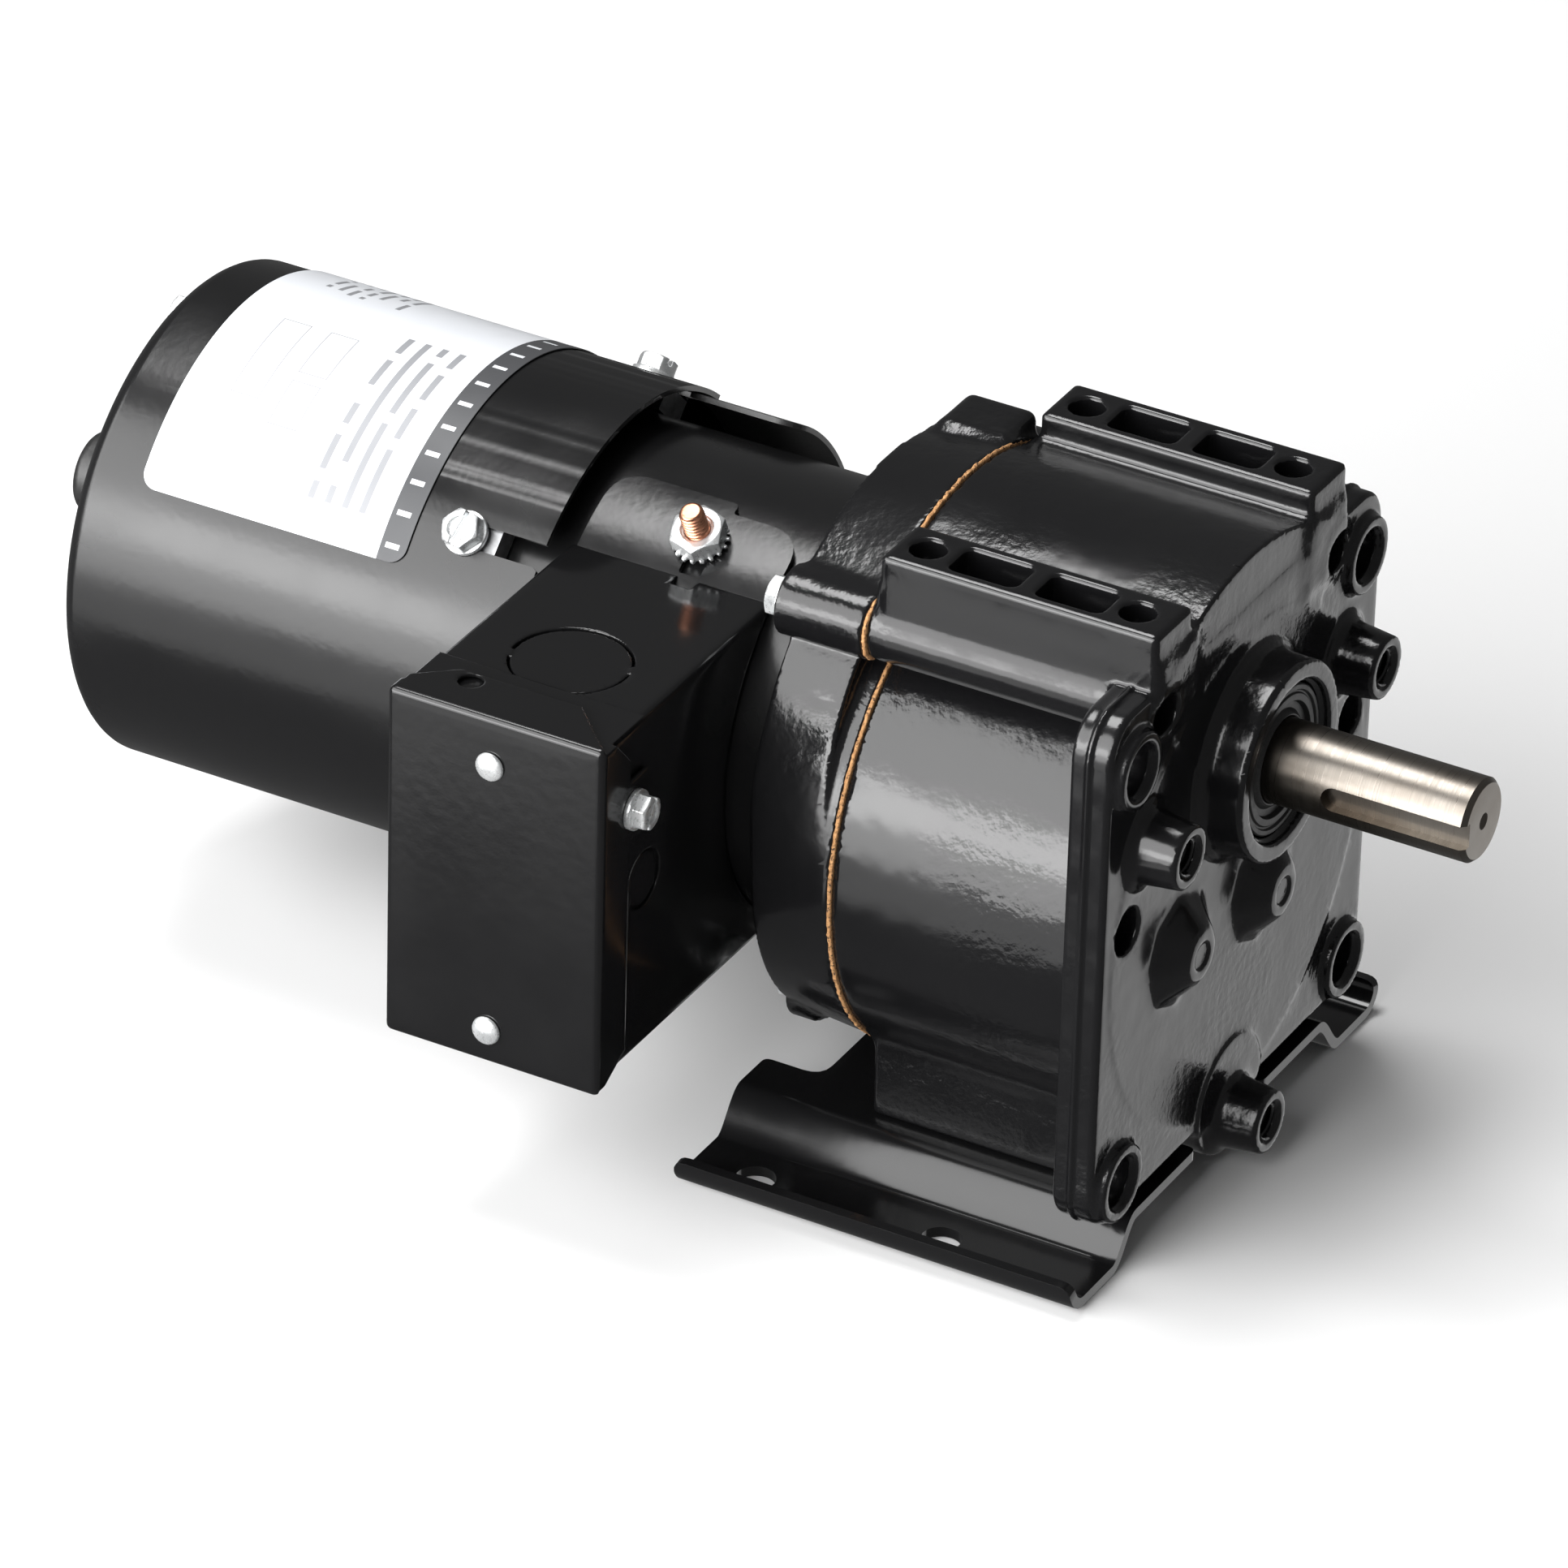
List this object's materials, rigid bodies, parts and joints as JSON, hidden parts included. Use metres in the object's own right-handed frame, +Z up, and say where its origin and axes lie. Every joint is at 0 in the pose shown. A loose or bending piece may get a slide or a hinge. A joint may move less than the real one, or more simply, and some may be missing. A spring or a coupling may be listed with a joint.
{
  "type": "parallel-shaft gearmotor",
  "caption": "Fan-cooled induction motor flanged to a cast spur gearbox on a bent-steel base, with a side conduit box and a keyed output shaft.",
  "frame": {"origin": "middle of the bounding box, on the floor that the base stands on", "axes": "+X along the shafts, towards the output shaft's free end; +Z up; the conduit box is on the -Y side"},
  "size_m": [0.2888, 0.1502, 0.1278],
  "materials": {
    "cast_black_paint": "black gloss enamel over a die casting, with an orange-peel texture",
    "sheet_black_paint": "black semi-gloss enamel on sheet steel",
    "gasket_fibre": "tan fibre sheet with dark flecks",
    "zinc_plated_steel": "bright zinc plate",
    "coppered_steel": "copper-washed steel thread",
    "bearing_steel": "ground bearing steel",
    "seal_rubber": "black nitrile rubber",
    "sintered_bronze": "oil-filled sintered bronze",
    "lamination_steel": "stacked lamination steel",
    "winding_copper": "enamelled copper wire",
    "cast_aluminium": "plain die-cast aluminium",
    "black_plastic": "matt black moulding",
    "label_film": "blank silver-white label film",
    "ground_steel": "turned and ground steel, lightly oiled",
    "gear_steel": "hobbed alloy steel"
  },
  "bodies": {
    "gearmotor_frame": {"gearcase": "cast_black_paint", "gearcase_gasket": "gasket_fibre", "adapter_casting": "cast_black_paint", "gearcase_screw_1": "zinc_plated_steel", "gearcase_screw_2": "zinc_plated_steel", "gearcase_screw_3": "zinc_plated_steel", "gearcase_screw_4": "zinc_plated_steel", "base_plate": "sheet_black_paint", "base_screw_1": "zinc_plated_steel", "base_screw_2": "zinc_plated_steel", "base_screw_3": "zinc_plated_steel", "base_screw_4": "zinc_plated_steel", "output_bearing": "bearing_steel", "output_seal": "seal_rubber", "output_rear_bush": "sintered_bronze", "first_shaft_rear_bush": "sintered_bronze", "first_shaft_front_bush": "sintered_bronze", "second_shaft_rear_bush": "sintered_bronze", "second_shaft_front_bush": "sintered_bronze", "motor_shell": "sheet_black_paint", "stator_core": "lamination_steel", "stator_winding_front": "winding_copper", "stator_winding_rear": "winding_copper", "rotor_front_bearing": "bearing_steel", "rotor_rear_bearing": "bearing_steel", "rear_end_shield": "cast_aluminium", "fan_shroud": "sheet_black_paint", "rear_hub_plug": "black_plastic", "shroud_screw_1": "zinc_plated_steel", "shroud_screw_2": "zinc_plated_steel", "shroud_screw_3": "zinc_plated_steel", "shroud_screw_4": "zinc_plated_steel", "shroud_rear_screw_1": "zinc_plated_steel", "shroud_rear_screw_2": "zinc_plated_steel", "air_baffle": "black_plastic", "nameplate_label": "label_film", "conduit_box": "sheet_black_paint", "conduit_box_cover": "sheet_black_paint", "cover_rivet_1": "zinc_plated_steel", "cover_rivet_2": "zinc_plated_steel", "cover_screw_front": "zinc_plated_steel", "cover_screw_rear": "zinc_plated_steel", "ground_stud": "coppered_steel", "ground_nut": "zinc_plated_steel"},
    "rotor": {"rotor_shaft": "ground_steel", "rotor_core": "lamination_steel", "motor_pinion": "gear_steel", "cooling_fan": "black_plastic"},
    "first_countershaft": {"first_gear": "gear_steel", "first_pinion_shaft": "gear_steel"},
    "second_countershaft": {"second_gear": "gear_steel", "second_pinion_shaft": "gear_steel"},
    "output": {"output_shaft": "ground_steel", "output_gear": "gear_steel", "output_retaining_ring": "gear_steel"}
  },
  "joints": [
    {"name": "rotor_spin", "type": "hinge", "parent": "gearmotor_frame", "child": "rotor", "pos_m": [0.1062, 0.0142, 0.0711], "axis": [1, 0, 0], "continuous": true},
    {"name": "first_countershaft_spin", "type": "hinge", "parent": "gearmotor_frame", "child": "first_countershaft", "pos_m": [0.1062, -0.00918, 0.0576], "axis": [1, 0, 0], "continuous": true},
    {"name": "second_countershaft_spin", "type": "hinge", "parent": "gearmotor_frame", "child": "second_countershaft", "pos_m": [0.1062, 0.02265, 0.05432], "axis": [1, 0, 0], "continuous": true},
    {"name": "output_spin", "type": "hinge", "parent": "gearmotor_frame", "child": "output", "pos_m": [0.1062, 0.0142, 0.087], "axis": [1, 0, 0], "continuous": true}
  ],
  "couplings": [
    {"joint": "first_countershaft_spin", "follows": "rotor_spin", "ratio": -0.42105},
    {"joint": "second_countershaft_spin", "follows": "rotor_spin", "ratio": 0.16476},
    {"joint": "output_spin", "follows": "rotor_spin", "ratio": -0.069373}
  ]
}
